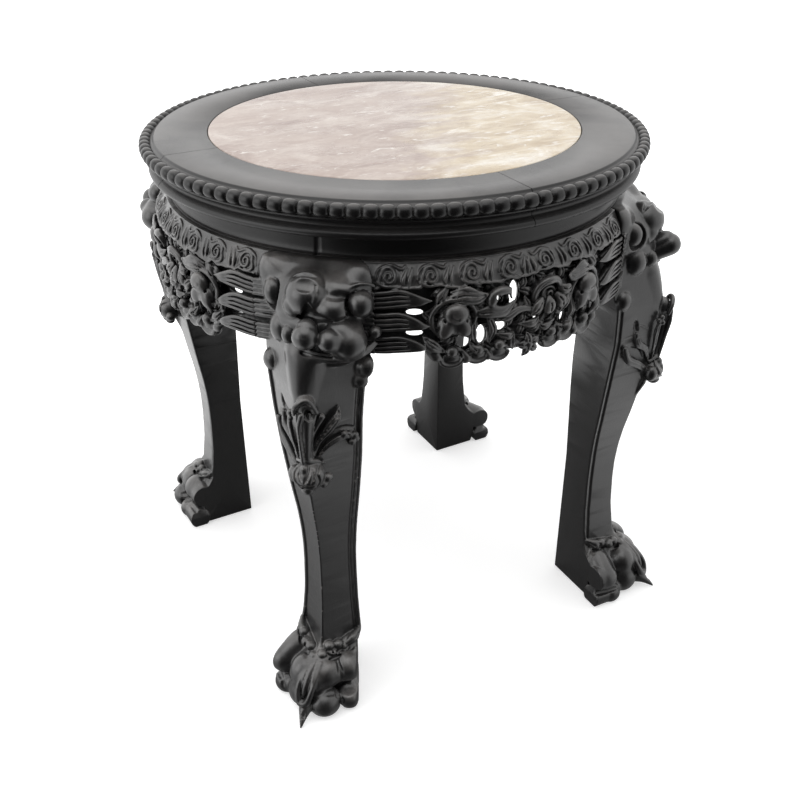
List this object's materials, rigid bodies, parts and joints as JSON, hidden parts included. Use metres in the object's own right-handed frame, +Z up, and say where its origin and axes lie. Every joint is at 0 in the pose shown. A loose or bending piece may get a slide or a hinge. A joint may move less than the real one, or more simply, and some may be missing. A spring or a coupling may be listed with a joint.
{
  "type": "marble-top round side table",
  "caption": "Low round side table: marble disc in a beaded hardwood ring, pierced carved aprons and cabriole legs with beast masks and clawed paws.",
  "frame": {"origin": "on the floor, under the centre of the round top", "axes": "+Z up; the four aprons face +X, +Y, -X and -Y, and the four legs stand on the diagonals between them"},
  "size_m": [0.44, 0.44, 0.461],
  "materials": {
    "marble": "polished pinkish cream marble with fine veins",
    "black_wood": "satin black lacquer over turned and planed hardwood",
    "carved_wood": "satin black lacquer over carved hardwood, slightly rubbed on the high points",
    "bare_wood": "unfinished reddish hardwood inside the joints"
  },
  "bodies": {
    "root": {"marble_top": "marble", "cross_batten_1": "bare_wood", "cross_batten_2": "bare_wood", "top_frame_1": "black_wood", "top_frame_2": "black_wood", "top_frame_3": "black_wood", "top_frame_4": "black_wood", "frame_tongue_1": "bare_wood", "frame_tongue_2": "bare_wood", "frame_tongue_3": "bare_wood", "frame_tongue_4": "bare_wood", "waist_1": "black_wood", "waist_2": "black_wood", "waist_3": "black_wood", "waist_4": "black_wood", "apron_1": "carved_wood", "apron_2": "carved_wood", "apron_3": "carved_wood", "apron_4": "carved_wood", "leg_1": "carved_wood", "leg_2": "carved_wood", "leg_3": "carved_wood", "leg_4": "carved_wood", "apron_peg_1": "bare_wood", "apron_peg_2": "bare_wood", "apron_peg_3": "bare_wood", "apron_peg_4": "bare_wood", "apron_peg_5": "bare_wood", "apron_peg_6": "bare_wood", "apron_peg_7": "bare_wood", "apron_peg_8": "bare_wood"}
  },
  "joints": []
}
